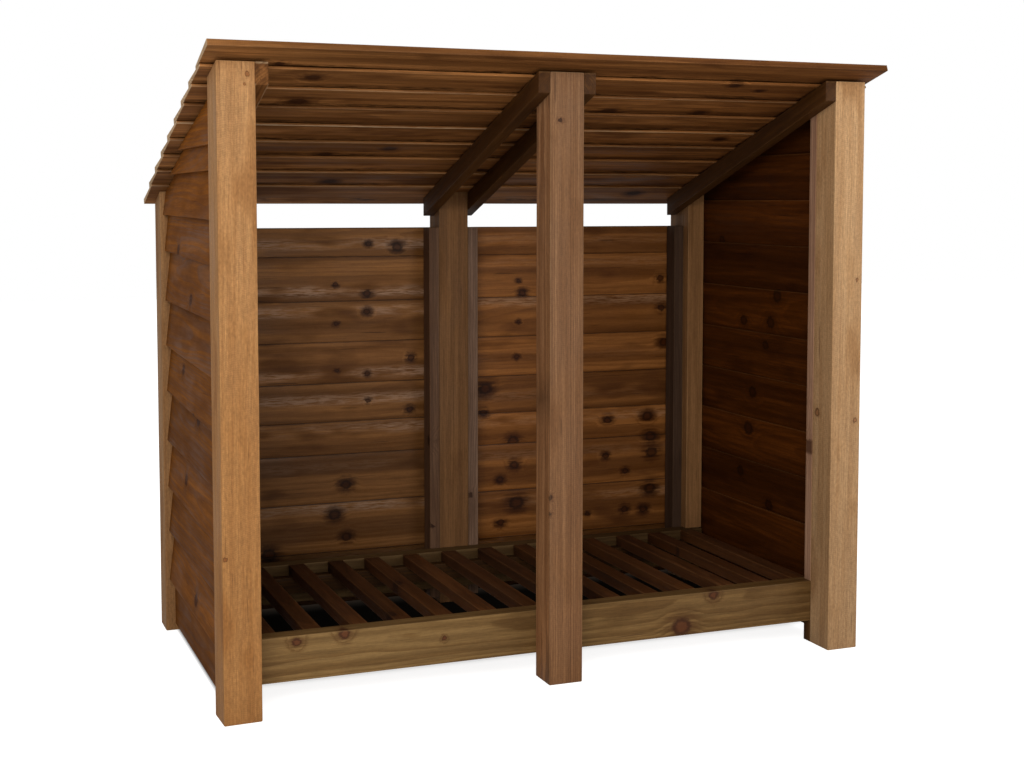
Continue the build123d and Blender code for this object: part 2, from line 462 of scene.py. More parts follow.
@dataclass(frozen=True)
class TimberFinish:
    """Stained softwood, with the figure of its log, its knots and the marks of the saw, and a painted band
    where the finish sets one: a highlight on the back walls, a shadow on the roof.
    """

    name: str
    early: Triple
    late: Triple
    knot: Triple
    stain: Triple
    # Colour of the painted band: a highlight on the back walls, a shadow on the roof.
    painted_highlight_and_shadow: Triple
    cut_end: Triple
    core: Triple | None = None
    halo: Triple | None = None
    ring_width: float = 0.0042
    wander: float = 0.012
    ring_share: float = 0.6
    streak_share: float = 0.5
    band_share: float = 0.4
    sheen_share: float = 0.0
    blotch_share: float = 0.5
    fibre_share: float = 0.8
    mottle_share: float = 0.2
    halo_share: float = 0.6
    saw_share: float = 0.3
    worn_share: float = 0.35
    knot_share: float = 0.0
    knot_radius: float = 0.009
    knot_slots: int = 3
    knot_cover: float = 0.85
    squash: Triple = (0.8, 1.0, 0.0)
    outline_waves: Triple = (110.0, 170.0, 170.0)
    outline_depth: float = 0.010
    sheen_reach: float = 0.019
    sheen_core: float = 0.003
    saw_shade: float = 0.13
    warming: tuple[float, float, float, float] = (1.0, 0.78, 0.5, 1.0)
    rough_low: float = 0.55
    rough_high: float = 0.8
    gloss: float = 0.15
    relief: float = 0.35
    fibre_height: float = 0.00032
    check_depth: float = 0.0006

    def colour(self, value: Triple) -> tuple[float, float, float, float]:
        """Gives a colour its alpha."""
        return (*value, 1.0)

    def knots(self, wire: Wiring, groups: TimberGroups, grain: object, place: object) -> tuple[object, ...]:
        """Adds the scattered knots, where the finish has any, and the timber's own.

        Args:
            wire: Wiring of the material.
            groups: The shared node groups.
            grain: Grain coordinates.
            place: Place in the timber.

        Returns:
            Masks of the knots' cores, of their rims and of the figure that bends round them.
        """
        core: object = 0.0
        rim: object = 0.0
        pull: object = 0.0
        if self.knot_share:
            spread = wire.group(groups.knots, Grain=grain, Share=self.knot_share, Radius=self.knot_radius)
            core, rim, pull = (spread.outputs[label] for label in ("Core", "Rim", "Pull"))
        ragged = wire.swing(wire.noise(grain, self.outline_waves, 2.0, 0.6), self.outline_depth)
        for slot in range(self.knot_slots):
            own = wire.attribute(f"knot_{slot + 1}")
            spot = wire.group(
                groups.spot, Point=place, Centre=own.outputs["Vector"], Radius=own.outputs["Alpha"],
                Squash=self.squash, Ragged=ragged, Core=core, Rim=rim, Pull=pull,
            )
            core, rim, pull = (spot.outputs[label] for label in ("Core", "Rim", "Pull"))
        return core, rim, pull

    def sheen(
        self, wire: Wiring, wisps: object, below: object, at: object, strength: object
    ) -> bpy.types.NodeSocket:
        """Adds a painted band of fine streaks along the board: a highlight on the back walls, a shadow on the
        roof.

        Args:
            wire: Wiring of the material.
            wisps: Mask of the fine streaks.
            below: Distance below the board's upper edge.
            at: Distance at which the band lies.
            strength: How strong the band is.

        Returns:
            The mask.
        """
        off = wire.math("ABSOLUTE", wire.math("SUBTRACT", below, at))
        band = wire.ramp(off, self.sheen_reach, self.sheen_core)
        return wire.math("MULTIPLY", wire.math("MULTIPLY", band, wisps), strength)

    def stained(
        self, wire: Wiring, late: object, fibres: bpy.types.Node, sheen: object, pull: object
    ) -> bpy.types.NodeSocket:
        """Lays the stain, the painted band and the dark figure round the knots over the rings.

        Args:
            wire: Wiring of the material.
            late: Mask of the late wood.
            fibres: The fibres' node group.
            sheen: Mask of the painted band's streaks.
            pull: Mask of the figure round the knots.

        Returns:
            The colour's socket.
        """
        rings = wire.math("MULTIPLY", late, self.ring_share)
        colour = wire.mix(rings, self.colour(self.early), self.colour(self.late))
        streak = fibres.outputs["Streak"]
        halo = wire.math("MULTIPLY", wire.ramp(pull, 0.1, 0.85), wire.ramp(streak, 0.3, 0.52))
        layers = (
            (wire.ramp(fibres.outputs["Band"], 0.40, 0.62), self.band_share, self.stain),
            (wire.ramp(streak, 0.34, 0.66), self.streak_share, self.stain),
            (wire.ramp(fibres.outputs["Blotch"], 0.47, 0.28), self.blotch_share, self.stain),
            # The painted band: a highlight on the back walls, a shadow on the roof.
            (sheen, self.sheen_share, self.painted_highlight_and_shadow),
            (halo, self.halo_share, self.halo or self.late),
        )
        for mask, share, paint in layers:
            if share:
                colour = wire.mix(wire.math("MULTIPLY", mask, share), colour, self.colour(paint))
        return colour

    def grained(self, wire: Wiring, colour: object, fibres: bpy.types.Node) -> bpy.types.NodeSocket:
        """Varies a colour by the fibres, the rubbed pores and the strokes of the saw.

        Args:
            wire: Wiring of the material.
            colour: The colour.
            fibres: The fibres' node group.

        Returns:
            The colour's socket.
        """
        fibre, mottle, saw = (fibres.outputs[label] for label in ("Fibre", "Mottle", "Saw"))
        fuzz = wire.math("MULTIPLY_ADD", fibre, self.fibre_share, 1.0 - self.fibre_share / 2)
        rubbed = wire.math("MULTIPLY_ADD", mottle, self.mottle_share, 1.0 - self.mottle_share / 2)
        sawn = wire.math("MULTIPLY_ADD", saw, -self.saw_shade * self.saw_share, 1.0)
        return wire.scale_colour(colour, wire.math("MULTIPLY", fuzz, wire.math("MULTIPLY", rubbed, sawn)))

    def relieved(self, wire: Wiring, fibres: bpy.types.Node) -> bpy.types.NodeSocket:
        """Adds the fine relief of the fibres and of the drying checks.

        Args:
            wire: Wiring of the material.
            fibres: The fibres' node group.

        Returns:
            The normal's socket.
        """
        raised = wire.math("MULTIPLY", fibres.outputs["Fibre"], self.fibre_height)
        sunk = wire.math("MULTIPLY", fibres.outputs["Check"], self.check_depth)
        bump = wire.node("Bump")
        bump.inputs["Strength"].default_value = self.relief
        bump.inputs["Distance"].default_value = 1.0
        wire.feed(bump.inputs["Height"], wire.math("SUBTRACT", raised, sunk))
        return bump.outputs[0]

    def material(self, groups: TimberGroups) -> bpy.types.Material:
        """Builds the finish as a material.

        Args:
            groups: The shared node groups.

        Returns:
            The material.
        """
        made = bpy.data.materials.new(self.name)
        made.use_nodes = True
        made.node_tree.nodes.clear()
        wire = Wiring(made.node_tree)
        grain, heart, place, half, tone_and_light, edge_wear_and_sheen = (
            wire.attribute(label).outputs["Vector"] for label in VECTOR_LABELS
        )
        # Lightness, which carries painted light, then warmth and seed.
        light, warm, seed = wire.parts(tone_and_light)
        # Worn edges' strength, then the painted band's place below the upper edge and its strength.
        edge, sheen_at, sheen_strength = wire.parts(edge_wear_and_sheen)
        core, rim, pull = self.knots(wire, groups, grain, place)
        rings = wire.group(
            groups.rings, Heart=heart, Grain=grain, Pull=pull, Ring_width=self.ring_width, Wander=self.wander
        )
        fibres = wire.group(groups.fibres, Grain=grain, Seed=seed)
        edges = wire.group(groups.edges, Place=place, Half=half, Grain=grain)
        late = rings.outputs["Late"]

        # Painted band along each board: a highlight on the back walls, a shadow on the roof.
        _, below, _ = wire.parts(wire.vector("SUBTRACT", half, place))
        sheen = self.sheen(wire, fibres.outputs["Sheen"], below, sheen_at, sheen_strength)
        colour = self.grained(wire, self.stained(wire, late, fibres, sheen, pull), fibres)
        core_colour = self.colour(self.core or self.knot)
        colour = wire.mix(wire.math("MULTIPLY", core, self.knot_cover), colour, core_colour)
        colour = wire.mix(wire.math("MULTIPLY", rim, self.knot_cover), colour, self.colour(self.knot))
        colour = wire.mix(wire.math("MULTIPLY", fibres.outputs["Check"], 0.5), colour, self.colour(self.knot))
        rubbed = wire.math("MULTIPLY", wire.math("MULTIPLY", edges.outputs["Worn"], self.worn_share), edge)
        colour = wire.mix(rubbed, colour, self.colour(self.cut_end))
        end = wire.mix(wire.math("MULTIPLY", late, 0.5), self.colour(self.cut_end), self.colour(self.late))
        colour = wire.mix(wire.math("MULTIPLY", edges.outputs["End"], 0.85), colour, end)
        colour = wire.mix(warm, colour, wire.mix(1.0, colour, self.warming, "MULTIPLY"))

        worn_dull = wire.math("MULTIPLY_ADD", late, -0.12, self.rough_high)
        soaked = wire.ramp(fibres.outputs["Blotch"], 0.35, 0.7)
        shine = wire.math("MULTIPLY", soaked, self.rough_high - self.rough_low)
        rough = wire.math("SUBTRACT", worn_dull, shine)
        rough = wire.math("ADD", rough, wire.math("MULTIPLY", edges.outputs["End"], 0.2), clamp=True)
        surface = wire.node("BsdfPrincipled")
        wire.feed(surface.inputs["Base Color"], wire.scale_colour(colour, light))
        wire.feed(surface.inputs["Roughness"], rough)
        wire.feed(surface.inputs["Normal"], self.relieved(wire, fibres))
        surface.inputs["Specular IOR Level"].default_value = self.gloss
        wire.feed(wire.node("OutputMaterial").inputs["Surface"], surface.outputs[0])
        return made


def on_front_face(y: float, *spots: Triple) -> tuple[Knot, ...]:
    """Gives the knots of a face that looks forward, each from its x, z and radius."""
    return tuple((x, y, z, radius) for x, z, radius in spots)


def on_side_face(x: float, *spots: Triple) -> tuple[Knot, ...]:
    """Gives the knots of a face that looks aside, each from its y, z and radius."""
    return tuple((x, y, z, radius) for y, z, radius in spots)


# Knots that have a place of their own, each with its radius, in metres.
# The group branch_knots scatters the rest.
LEFT_BACK_KNOTS = on_front_face(
    0.361,
    (-0.196, 0.862, 0.0043), (-0.125, 0.854, 0.0079), (-0.276, 0.767, 0.0036), (-0.199, 0.744, 0.0058),
    (-0.200, 0.702, 0.0054), (-0.275, 0.676, 0.0032), (-0.093, 0.589, 0.0054), (-0.273, 0.565, 0.0029),
    (-0.200, 0.555, 0.0040), (-0.199, 0.491, 0.0036), (-0.095, 0.465, 0.0047), (-0.254, 0.294, 0.0079),
    (-0.283, 0.224, 0.0086), (-0.254, 0.169, 0.0072), (-0.439, 0.140, 0.0101),
)
RIGHT_BACK_KNOTS = on_front_face(
    0.361,
    (0.184, 0.767, 0.0031), (0.195, 0.738, 0.0059), (0.184, 0.667, 0.0031), (0.179, 0.581, 0.0039),
    (0.097, 0.506, 0.0101), (0.092, 0.447, 0.0055), (0.171, 0.373, 0.0086), (0.173, 0.314, 0.0070),
    (0.136, 0.279, 0.0055), (0.178, 0.219, 0.0117), (0.137, 0.172, 0.0062), (0.572, 0.767, 0.0062),
    (0.575, 0.691, 0.0062), (0.582, 0.604, 0.0078), (0.425, 0.412, 0.0066), (0.537, 0.416, 0.0086),
    (0.546, 0.364, 0.0086), (0.549, 0.323, 0.0094), (0.420, 0.321, 0.0055), (0.544, 0.230, 0.0094),
    (0.476, 0.279, 0.0047), (0.371, 0.176, 0.0039), (0.474, 0.181, 0.0062), (0.527, 0.177, 0.0070),
)
RIGHT_SIDE_KNOTS = on_side_face(
    0.656,
    (-0.060, 0.744, 0.011), (0.098, 0.677, 0.009), (-0.026, 0.681, 0.010), (0.048, 0.509, 0.010),
    (0.065, 0.420, 0.012), (-0.026, 0.250, 0.010), (0.101, 0.312, 0.009), (0.209, 0.866, 0.008),
    (-0.009, 0.626, 0.008),
)
LEFT_SIDE_KNOTS = on_side_face(
    -0.662,
    (0.137, 0.860, 0.008), (0.000, 0.763, 0.009), (0.136, 0.607, 0.008), (-0.025, 0.522, 0.010),
    (0.107, 0.377, 0.009), (-0.005, 0.148, 0.010),
)
ROOF_KNOTS: tuple[Knot, ...] = (
    (-0.488, -0.289, 1.190, 0.009), (-0.489, -0.173, 1.150, 0.011), (-0.366, 0.103, 1.057, 0.010),
    (-0.314, 0.261, 1.003, 0.010), (0.180, -0.158, 1.145, 0.012), (0.396, -0.164, 1.147, 0.008),
    (0.476, 0.323, 0.982, 0.010), (-0.560, -0.332, 1.205, 0.006), (0.395, -0.316, 1.199, 0.007),
    (0.469, -0.290, 1.190, 0.005), (-0.234, 0.059, 1.072, 0.008), (0.019, 0.186, 1.028, 0.007),
    (0.522, -0.026, 1.101, 0.008), (-0.618, -0.407, 1.233, 0.007), (-0.317, -0.407, 1.230, 0.004),
)
SILL_KNOTS = on_front_face(
    -0.285,
    (-0.529, 0.122, 0.006), (-0.435, 0.128, 0.007), (-0.231, 0.098, 0.003), (0.297, 0.066, 0.014),
    (0.373, 0.127, 0.007),
)
POST_KNOTS = on_front_face(
    -0.357,
    (-0.628, 1.190, 0.0036), (-0.633, 1.172, 0.0020), (-0.678, 0.311, 0.0030), (0.671, 0.795, 0.0030),
    (0.671, 0.495, 0.0040),
) + on_side_face(
    0.612,
    (-0.302, 0.508, 0.0070), (-0.280, 0.429, 0.0090), (-0.291, 0.953, 0.0030),
) + on_front_face(
    -0.357,
    (-0.036, 0.378, 0.004), (-0.038, 0.345, 0.003), (-0.016, 1.119, 0.003),
)
KNOTS = (
    LEFT_BACK_KNOTS + RIGHT_BACK_KNOTS + RIGHT_SIDE_KNOTS + LEFT_SIDE_KNOTS
    + ROOF_KNOTS + SILL_KNOTS + POST_KNOTS
)
KNOT_SLOTS = 6

# Fills an empty slot: a point far off every timber, with hardly any radius.
NO_KNOT = [9.0, 9.0, 9.0, 0.00001]


class Stain(Enum):
    """The finishes of the store's timbers."""

    PALE_POST = TimberFinish(
        "pale_post_timber",
        early=(0.56, 0.342, 0.170), late=(0.40, 0.212, 0.090), knot=(0.11, 0.045, 0.018),
        stain=(0.33, 0.165, 0.063), painted_highlight_and_shadow=(0.56, 0.36, 0.19), cut_end=(0.52, 0.34, 0.17),
        core=(0.30, 0.13, 0.05), ring_width=0.0046, wander=0.006, ring_share=0.35, streak_share=0.4,
        band_share=0.2, blotch_share=0.7, mottle_share=0.6, saw_share=1.0, worn_share=0.2,
        squash=(1.0, 1.0, 1.0), relief=0.6, gloss=0.2,
    )
    BROWN_POST = TimberFinish(
        "brown_post_timber",
        early=(0.300, 0.155, 0.072), late=(0.115, 0.046, 0.018), knot=(0.04, 0.015, 0.007),
        stain=(0.16, 0.070, 0.027), painted_highlight_and_shadow=(0.27, 0.16, 0.09), cut_end=(0.38, 0.24, 0.12),
        ring_width=0.0034, wander=0.003, ring_share=0.65, band_share=0.3, mottle_share=0.4, saw_share=0.8,
        squash=(1.0, 1.0, 1.0), relief=0.5, gloss=0.2,
    )
    BACK_POST = TimberFinish(
        "back_post_timber",
        early=(0.250, 0.126, 0.050), late=(0.150, 0.067, 0.022), knot=(0.04, 0.015, 0.006),
        stain=(0.115, 0.052, 0.018), painted_highlight_and_shadow=(0.25, 0.15, 0.08), cut_end=(0.30, 0.18, 0.08),
        ring_width=0.005, wander=0.004, ring_share=0.4, band_share=0.3, mottle_share=0.3, saw_share=0.8,
        knot_slots=1, knot_share=0.1, knot_radius=0.005,
    )
    FRAME = TimberFinish(
        "frame_timber",
        early=(0.130, 0.053, 0.011), late=(0.055, 0.020, 0.003), knot=(0.02, 0.008, 0.003),
        stain=(0.050, 0.018, 0.004), painted_highlight_and_shadow=(0.16, 0.095, 0.06), cut_end=(0.16, 0.08, 0.03),
        knot_slots=1, knot_share=0.2, knot_radius=0.007,
    )
    BATTEN = TimberFinish(
        "batten_timber",
        early=(0.200, 0.120, 0.078), late=(0.110, 0.060, 0.038), knot=(0.03, 0.012, 0.006),
        stain=(0.085, 0.043, 0.025), painted_highlight_and_shadow=(0.25, 0.16, 0.11), cut_end=(0.20, 0.11, 0.05),
        knot_slots=1, knot_share=0.2, knot_radius=0.007,
    )
    SILL = TimberFinish(
        "sill_timber",
        early=(0.250, 0.146, 0.052), late=(0.145, 0.074, 0.021), knot=(0.050, 0.014, 0.005),
        stain=(0.095, 0.047, 0.013), painted_highlight_and_shadow=(0.25, 0.165, 0.085), cut_end=(0.30, 0.19, 0.08),
        core=(0.115, 0.036, 0.012), halo=(0.105, 0.045, 0.013), ring_width=0.0085, wander=0.02,
        ring_share=0.8, saw_share=0.2, worn_share=0.3, knot_slots=5, squash=(0.85, 1.0, 0.3), relief=0.3,
    )
    SLAT = TimberFinish(
        "slat_timber",
        early=(0.125, 0.050, 0.016), late=(0.060, 0.021, 0.006), knot=(0.03, 0.011, 0.005),
        stain=(0.045, 0.016, 0.005), painted_highlight_and_shadow=(0.20, 0.11, 0.06), cut_end=(0.22, 0.115, 0.05),
        worn_share=0.4, knot_slots=0, knot_share=0.25, knot_radius=0.007,
    )
    # Its pale band colour, laid by sheen_share, paints a highlight of fine streaks along each board.
    BACK_WALL = TimberFinish(
        "back_wall_timber",
        early=(0.330, 0.146, 0.043), late=(0.150, 0.054, 0.012), knot=(0.018, 0.005, 0.001),
        stain=(0.085, 0.029, 0.005), painted_highlight_and_shadow=(0.47, 0.30, 0.20), cut_end=(0.020, 0.007, 0.002),
        core=(0.050, 0.014, 0.003), halo=(0.042, 0.012, 0.002), ring_width=0.0105, wander=0.026,
        ring_share=0.4, streak_share=0.28, band_share=0.62, sheen_share=0.74, blotch_share=0.75,
        fibre_share=0.65, halo_share=0.85, saw_share=0.5, worn_share=0.9, knot_slots=6,
        rough_low=0.4, rough_high=0.65,
    )
    # Dark stain with painted shade of the right wall's inner face in its colours; faces that look out are
    # lifted out of that shade by the wall's outer light factor.
    SHADED_SIDE_WALL = TimberFinish(
        "shaded_side_wall_timber",
        early=(0.125, 0.0436, 0.008), late=(0.055, 0.018, 0.003), knot=(0.020, 0.008, 0.002),
        stain=(0.036, 0.0115, 0.002), painted_highlight_and_shadow=(0.20, 0.10, 0.05), cut_end=(0.20, 0.12, 0.07),
        core=(0.034, 0.0115, 0.004), ring_width=0.0085, wander=0.022, ring_share=0.45, band_share=0.5,
        blotch_share=0.6, saw_share=1.0, gloss=0.05,
    )
    OUTER_WALL = TimberFinish(
        "outer_wall_timber",
        early=(0.245, 0.081, 0.009), late=(0.120, 0.037, 0.003), knot=(0.05, 0.014, 0.004),
        stain=(0.105, 0.033, 0.007), painted_highlight_and_shadow=(0.26, 0.11, 0.04), cut_end=(0.26, 0.11, 0.03),
        ring_width=0.0075, wander=0.02, saw_share=0.8, worn_share=0.3, gloss=0.05,
    )
    # Its dark band colour, laid by sheen_share, paints a shadow of streaks on each board near where the next
    # board laps.
    ROOF = TimberFinish(
        "roof_timber",
        early=(0.370, 0.162, 0.050), late=(0.165, 0.061, 0.015), knot=(0.03, 0.009, 0.003),
        stain=(0.080, 0.027, 0.006), painted_highlight_and_shadow=(0.040, 0.014, 0.003), cut_end=(0.50, 0.36, 0.22),
        core=(0.030, 0.009, 0.003), halo=(0.045, 0.013, 0.003), ring_width=0.0065, wander=0.02,
        band_share=0.6, sheen_share=0.95, blotch_share=0.7, halo_share=0.75, saw_share=0.6,
        worn_share=0.8, gloss=0.1,
    )


@dataclass
class Timber:
    """One length of timber: a block cut to shape by planes, with the figure of its log."""

    name: str
    low: Vector
    high: Vector
    stain: Stain
    slot: str
    along: Vector
    across: Vector
    cuts: list[Plane] = field(default_factory=list)
    sawing: Sawing = Sawing.FLAT
    seed: int = 1
    light: float = 1.0
    warm: float = 0.0
    # A lightness slope along the timber, which is painted light on the front posts; then painted light on the
    # lower side face and on faces that look the facing way.
    lightness_slope: float = 0.0
    warm_fade: float = 0.0
    painted_side_light: float = 1.0
    facing: Vector | None = None
    painted_outer_light: float = 1.0
    edge: float = 1.0
    # Place below the upper edge and strength of a painted band: a highlight on the back walls, a shadow on
    # the roof.
    sheen_at: float = 0.03
    sheen: float = 0.0
    turn: float = 0.0
    ease: float = 0.0015
    sway: float = 0.0
    sway_length: float = 0.21
    pitch: float = 0.06
    nodes: tuple[str, ...] = ()

    def block(self) -> bpy.types.Object:
        """Adds the block at its size and place.

        Returns:
            The block, with its place in its mesh.
        """
        middle = (self.low + self.high) / 2
        bpy.ops.object.select_all(action="DESELECT")
        bpy.ops.mesh.primitive_cube_add(size=1.0, location=middle)
        made = bpy.context.object
        made.name = self.name
        made.data.name = self.name
        bpy.ops.object.mode_set(mode="EDIT")
        bpy.ops.mesh.select_all(action="SELECT")
        bpy.ops.transform.resize(value=tuple(self.high - self.low), center_override=tuple(middle))
        bpy.ops.object.mode_set(mode="OBJECT")
        bpy.ops.object.transform_apply(location=True, rotation=True, scale=True)
        return made

    def saw(self) -> None:
        """Cuts the block by each plane and closes the cut."""
        bpy.ops.object.mode_set(mode="EDIT")
        for point, outward in self.cuts:
            bpy.ops.mesh.select_all(action="SELECT")
            bpy.ops.mesh.bisect(
                plane_co=tuple(point), plane_no=tuple(outward), use_fill=True, clear_outer=True
            )
        bpy.ops.mesh.select_all(action="SELECT")
        bpy.ops.mesh.remove_doubles(threshold=0.00001)
        bpy.ops.mesh.normals_make_consistent(inside=False)
        bpy.ops.object.mode_set(mode="OBJECT")

    def divide(self, made: bpy.types.Object) -> None:
        """Divides the long edges, so that the timber can sway a little.

        Args:
            made: The timber's object.
        """
        length = max(abs((self.high - self.low).dot(self.along)), self.pitch)
        bpy.ops.object.mode_set(mode="EDIT")
        bpy.ops.mesh.select_all(action="DESELECT")
        bpy.ops.object.mode_set(mode="OBJECT")
        points = made.data.vertices
        for edge in made.data.edges:
            run = points[edge.vertices[1]].co - points[edge.vertices[0]].co
            edge.select = run.length > self.pitch and abs(run.normalized().dot(self.along)) > 0.97
        bpy.ops.object.mode_set(mode="EDIT")
        bpy.ops.mesh.select_mode(type="EDGE")
        bpy.ops.mesh.subdivide(number_cuts=max(2, int(length / self.pitch)))
        bpy.ops.mesh.select_mode(type="VERT")
        bpy.ops.object.mode_set(mode="OBJECT")

    def apply(self, made: bpy.types.Object, modifier: bpy.types.Modifier) -> None:
        """Applies a modifier to the timber."""
        bpy.context.view_layer.objects.active = made
        bpy.ops.object.modifier_apply(modifier=modifier.name)

    def soften(self, made: bpy.types.Object) -> None:
        """Eases the edges, then lets the faces sway as sawn timber does.

        Args:
            made: The timber's object.
        """
        bevel = made.modifiers.new("ease", "BEVEL")
        bevel.width = self.ease
        bevel.segments = 2
        bevel.limit_method = "ANGLE"
        bevel.angle_limit = math.radians(25)
        self.apply(made, bevel)
        if self.sway:
            clouds = bpy.data.textures.get("sway") or bpy.data.textures.new("sway", "CLOUDS")
            clouds.noise_scale = self.sway_length
            for label, axis in (("X", X_AXIS), ("Y", Y_AXIS), ("Z", Z_AXIS)):
                if abs(axis.dot(self.along)) > 0.9:
                    continue
                shift = made.modifiers.new("sway", "DISPLACE")
                shift.texture = clouds
                shift.texture_coords = "GLOBAL"
                shift.direction = label
                shift.strength = self.sway
                shift.mid_level = 0.5
                self.apply(made, shift)
        bpy.ops.object.shade_smooth_by_angle(angle=math.radians(28))

    def heart(self, dice: random.Random, wide: float, thick: float) -> tuple[tuple[float, float], ...]:
        """Draws where the heart of the log runs.

        Args:
            dice: The timber's own dice.
            wide: Half the timber's width.
            thick: Half its thickness.

        Returns:
            The heart's place across and into the timber, and how far it leans per metre in both.
        """
        if self.sawing is Sawing.HEART:
            off = dice.uniform(-0.4, 0.4) * wide
            core = (off, dice.choice((-1, 1)) * (thick + dice.uniform(0.004, 0.02)))
            lean = (dice.uniform(-0.01, 0.01), dice.uniform(-0.03, 0.03))
        elif self.sawing is Sawing.FLAT:
            off = dice.uniform(-0.7, 0.7) * wide
            core = (off, dice.choice((-1, 1)) * (thick + dice.uniform(0.03, 0.08)))
            lean = (dice.uniform(-0.02, 0.02), dice.uniform(-0.05, 0.05))
        elif self.sawing is Sawing.RIFT:
            core = (dice.choice((-1, 1)) * (wide + dice.uniform(0.02, 0.06)), dice.uniform(0.03, 0.07))
            lean = (dice.uniform(-0.012, 0.012), dice.uniform(-0.02, 0.02))
        else:
            core = (dice.choice((-1, 1)) * (wide + dice.uniform(0.09, 0.16)), dice.uniform(-0.01, 0.01))
            lean = (dice.uniform(-0.004, 0.004), dice.uniform(-0.004, 0.004))
        return core, lean

    def tone_and_light(self, share: float, from_side: float, normal: Vector) -> tuple[float, float]:
        """Gives how light and how warm the timber is at a point, with a lightness slope along it and painted
        light on its lower side face and on its outward faces.

        Args:
            share: Place along the timber, from -1 to 1.
            from_side: Distance from the timber's lower side.
            normal: The way that the surface looks there.

        Returns:
            The lightness and the warmth.
        """
        light = self.light * (1.0 + self.lightness_slope * share)
        warm = max(0.0, min(1.0, self.warm + self.warm_fade * share))
        # Painted light: the timber's lower side face is made lighter.
        if from_side < 0.0006:
            light *= self.painted_side_light
        # Painted light: faces that look out of the wall are made lighter and not warmed, out of the painted
        # shade that the finish gives the inner face.
        if self.facing is not None and normal.dot(self.facing) > 0.1:
            light *= self.painted_outer_light
            warm = 0.0
        return light, warm

    def figure(self, made: bpy.types.Object) -> None:
        """Writes where each point lies in the board and in its log, for the finish to read.

        Args:
            made: The timber's object.
        """
        dice = random.Random(self.seed * 7919 + 13)
        deep = self.along.cross(self.across).normalized()
        axes = (self.along.normalized(), self.across.normalized(), deep)
        local = [[vertex.co.dot(axis) for axis in axes] for vertex in made.data.vertices]
        lows = [min(row[i] for row in local) for i in range(3)]
        highs = [max(row[i] for row in local) for i in range(3)]
        middle = [(a + b) / 2 for a, b in zip(lows, highs)]
        half = [(b - a) / 2 for a, b in zip(lows, highs)]
        shift = [dice.uniform(-40, 40), dice.uniform(-4, 4), dice.uniform(-4, 4)]
        core, lean = self.heart(dice, half[1], half[2])
        rows: dict[str, list[float]] = {label: [] for label in VECTOR_LABELS}
        for row, vertex in zip(local, made.data.vertices):
            place = [row[i] - middle[i] for i in range(3)]
            light, warm = self.tone_and_light(place[0] / half[0], place[1] + half[1], vertex.normal)
            rows["place"].extend(place)
            rows["half"].extend(half)
            rows["grain"].extend(place[i] + shift[i] for i in range(3))
            rows["heart"].extend(
                (place[0], place[1] - core[0] - lean[0] * place[0], place[2] - core[1] - lean[1] * place[0])
            )
            rows["tone_and_light"].extend((light, warm, self.seed * 0.37))
            rows["edge_wear_and_sheen"].extend((self.edge, self.sheen_at, self.sheen))
        for label, values in rows.items():
            made.data.attributes.new(label, "FLOAT_VECTOR", "POINT").data.foreach_set("vector", values)
        self.place_knots(made, axes, lows, highs)

    def place_knots(
        self, made: bpy.types.Object, axes: tuple[Vector, ...], lows: list[float], highs: list[float]
    ) -> None:
        """Writes the knots that lie in this timber, for the finish to read.

        Args:
            made: The timber's object.
            axes: The timber's three directions.
            lows: Its lowest place along each.
            highs: Its highest place along each.
        """
        found = []
        margins = (0.0, 0.004, 0.016)
        for *spot, radius in KNOTS:
            row = [Vector(spot).dot(axis) for axis in axes]
            spans = list(zip(row, lows, highs, margins))
            if all(low - margin <= value <= high + margin for value, low, high, margin in spans):
                found.append([value - (low + high) / 2 for value, low, high, _ in spans] + [radius])
        for slot in range(KNOT_SLOTS):
            value = found[slot] if slot < len(found) else NO_KNOT
            layer = made.data.attributes.new(f"knot_{slot + 1}", "FLOAT_COLOR", "POINT")
            layer.data.foreach_set("color", value * len(made.data.vertices))

    def twist(self) -> None:
        """Turns the timber a little about its own length, as it was set."""
        bpy.ops.object.mode_set(mode="EDIT")
        bpy.ops.mesh.select_all(action="SELECT")
        bpy.ops.transform.rotate(
            value=math.radians(-self.turn), orient_axis="Z", center_override=tuple((self.low + self.high) / 2)
        )
        bpy.ops.object.mode_set(mode="OBJECT")

    def build(self, finishes: dict[Stain, bpy.types.Material]) -> bpy.types.Object:
        """Makes the timber and hangs it on the frame.

        Args:
            finishes: Material of each stain.

        Returns:
            The finished object.
        """
        made = self.block()
        if self.cuts:
            self.saw()
        if self.sway:
            self.divide(made)
        self.soften(made)
        self.figure(made)
        if self.turn:
            self.twist()
        made.data.materials.clear()
        made.data.materials.append(finishes[self.stain])
        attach(made, "root")
        if self.nodes:
            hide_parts(*self.nodes)
        return made


@dataclass(frozen=True)
class Look:
    """What tells the timber of one node from its neighbours."""

    node: str
    stain: Stain
    seed: int
    light: float = 1.0
    warm: float = 0.0
    lightness_slope: float = 0.0
    warm_fade: float = 0.0
    painted_side_light: float = 1.0
    turn: float = 0.0
    sawing: Sawing = Sawing.RIFT

    def timber(
        self, slot: str, along: Vector, across: Vector, *cuts: Plane,
        ease: float = 0.0015, sway: float = 0.0008,
    ) -> Timber:
        """Gives the timber that fills the node's box.

        Args:
            slot: The slot of its finish; not used.
            along: The way of its grain.
            across: The way of its width.
            cuts: Planes that it is cut by.
            ease: How far its edges are eased.
            sway: How far its faces sway.

        Returns:
            The timber.
        """
        low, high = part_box(self.node)
        return Timber(
            f"{self.node}_timber", low, high, self.stain, slot, along, across, cuts=list(cuts),
            sawing=self.sawing, seed=self.seed, light=self.light, warm=self.warm, lightness_slope=self.lightness_slope,
            warm_fade=self.warm_fade, painted_side_light=self.painted_side_light, turn=self.turn, ease=ease, sway=sway,
            nodes=(self.node,),
        )


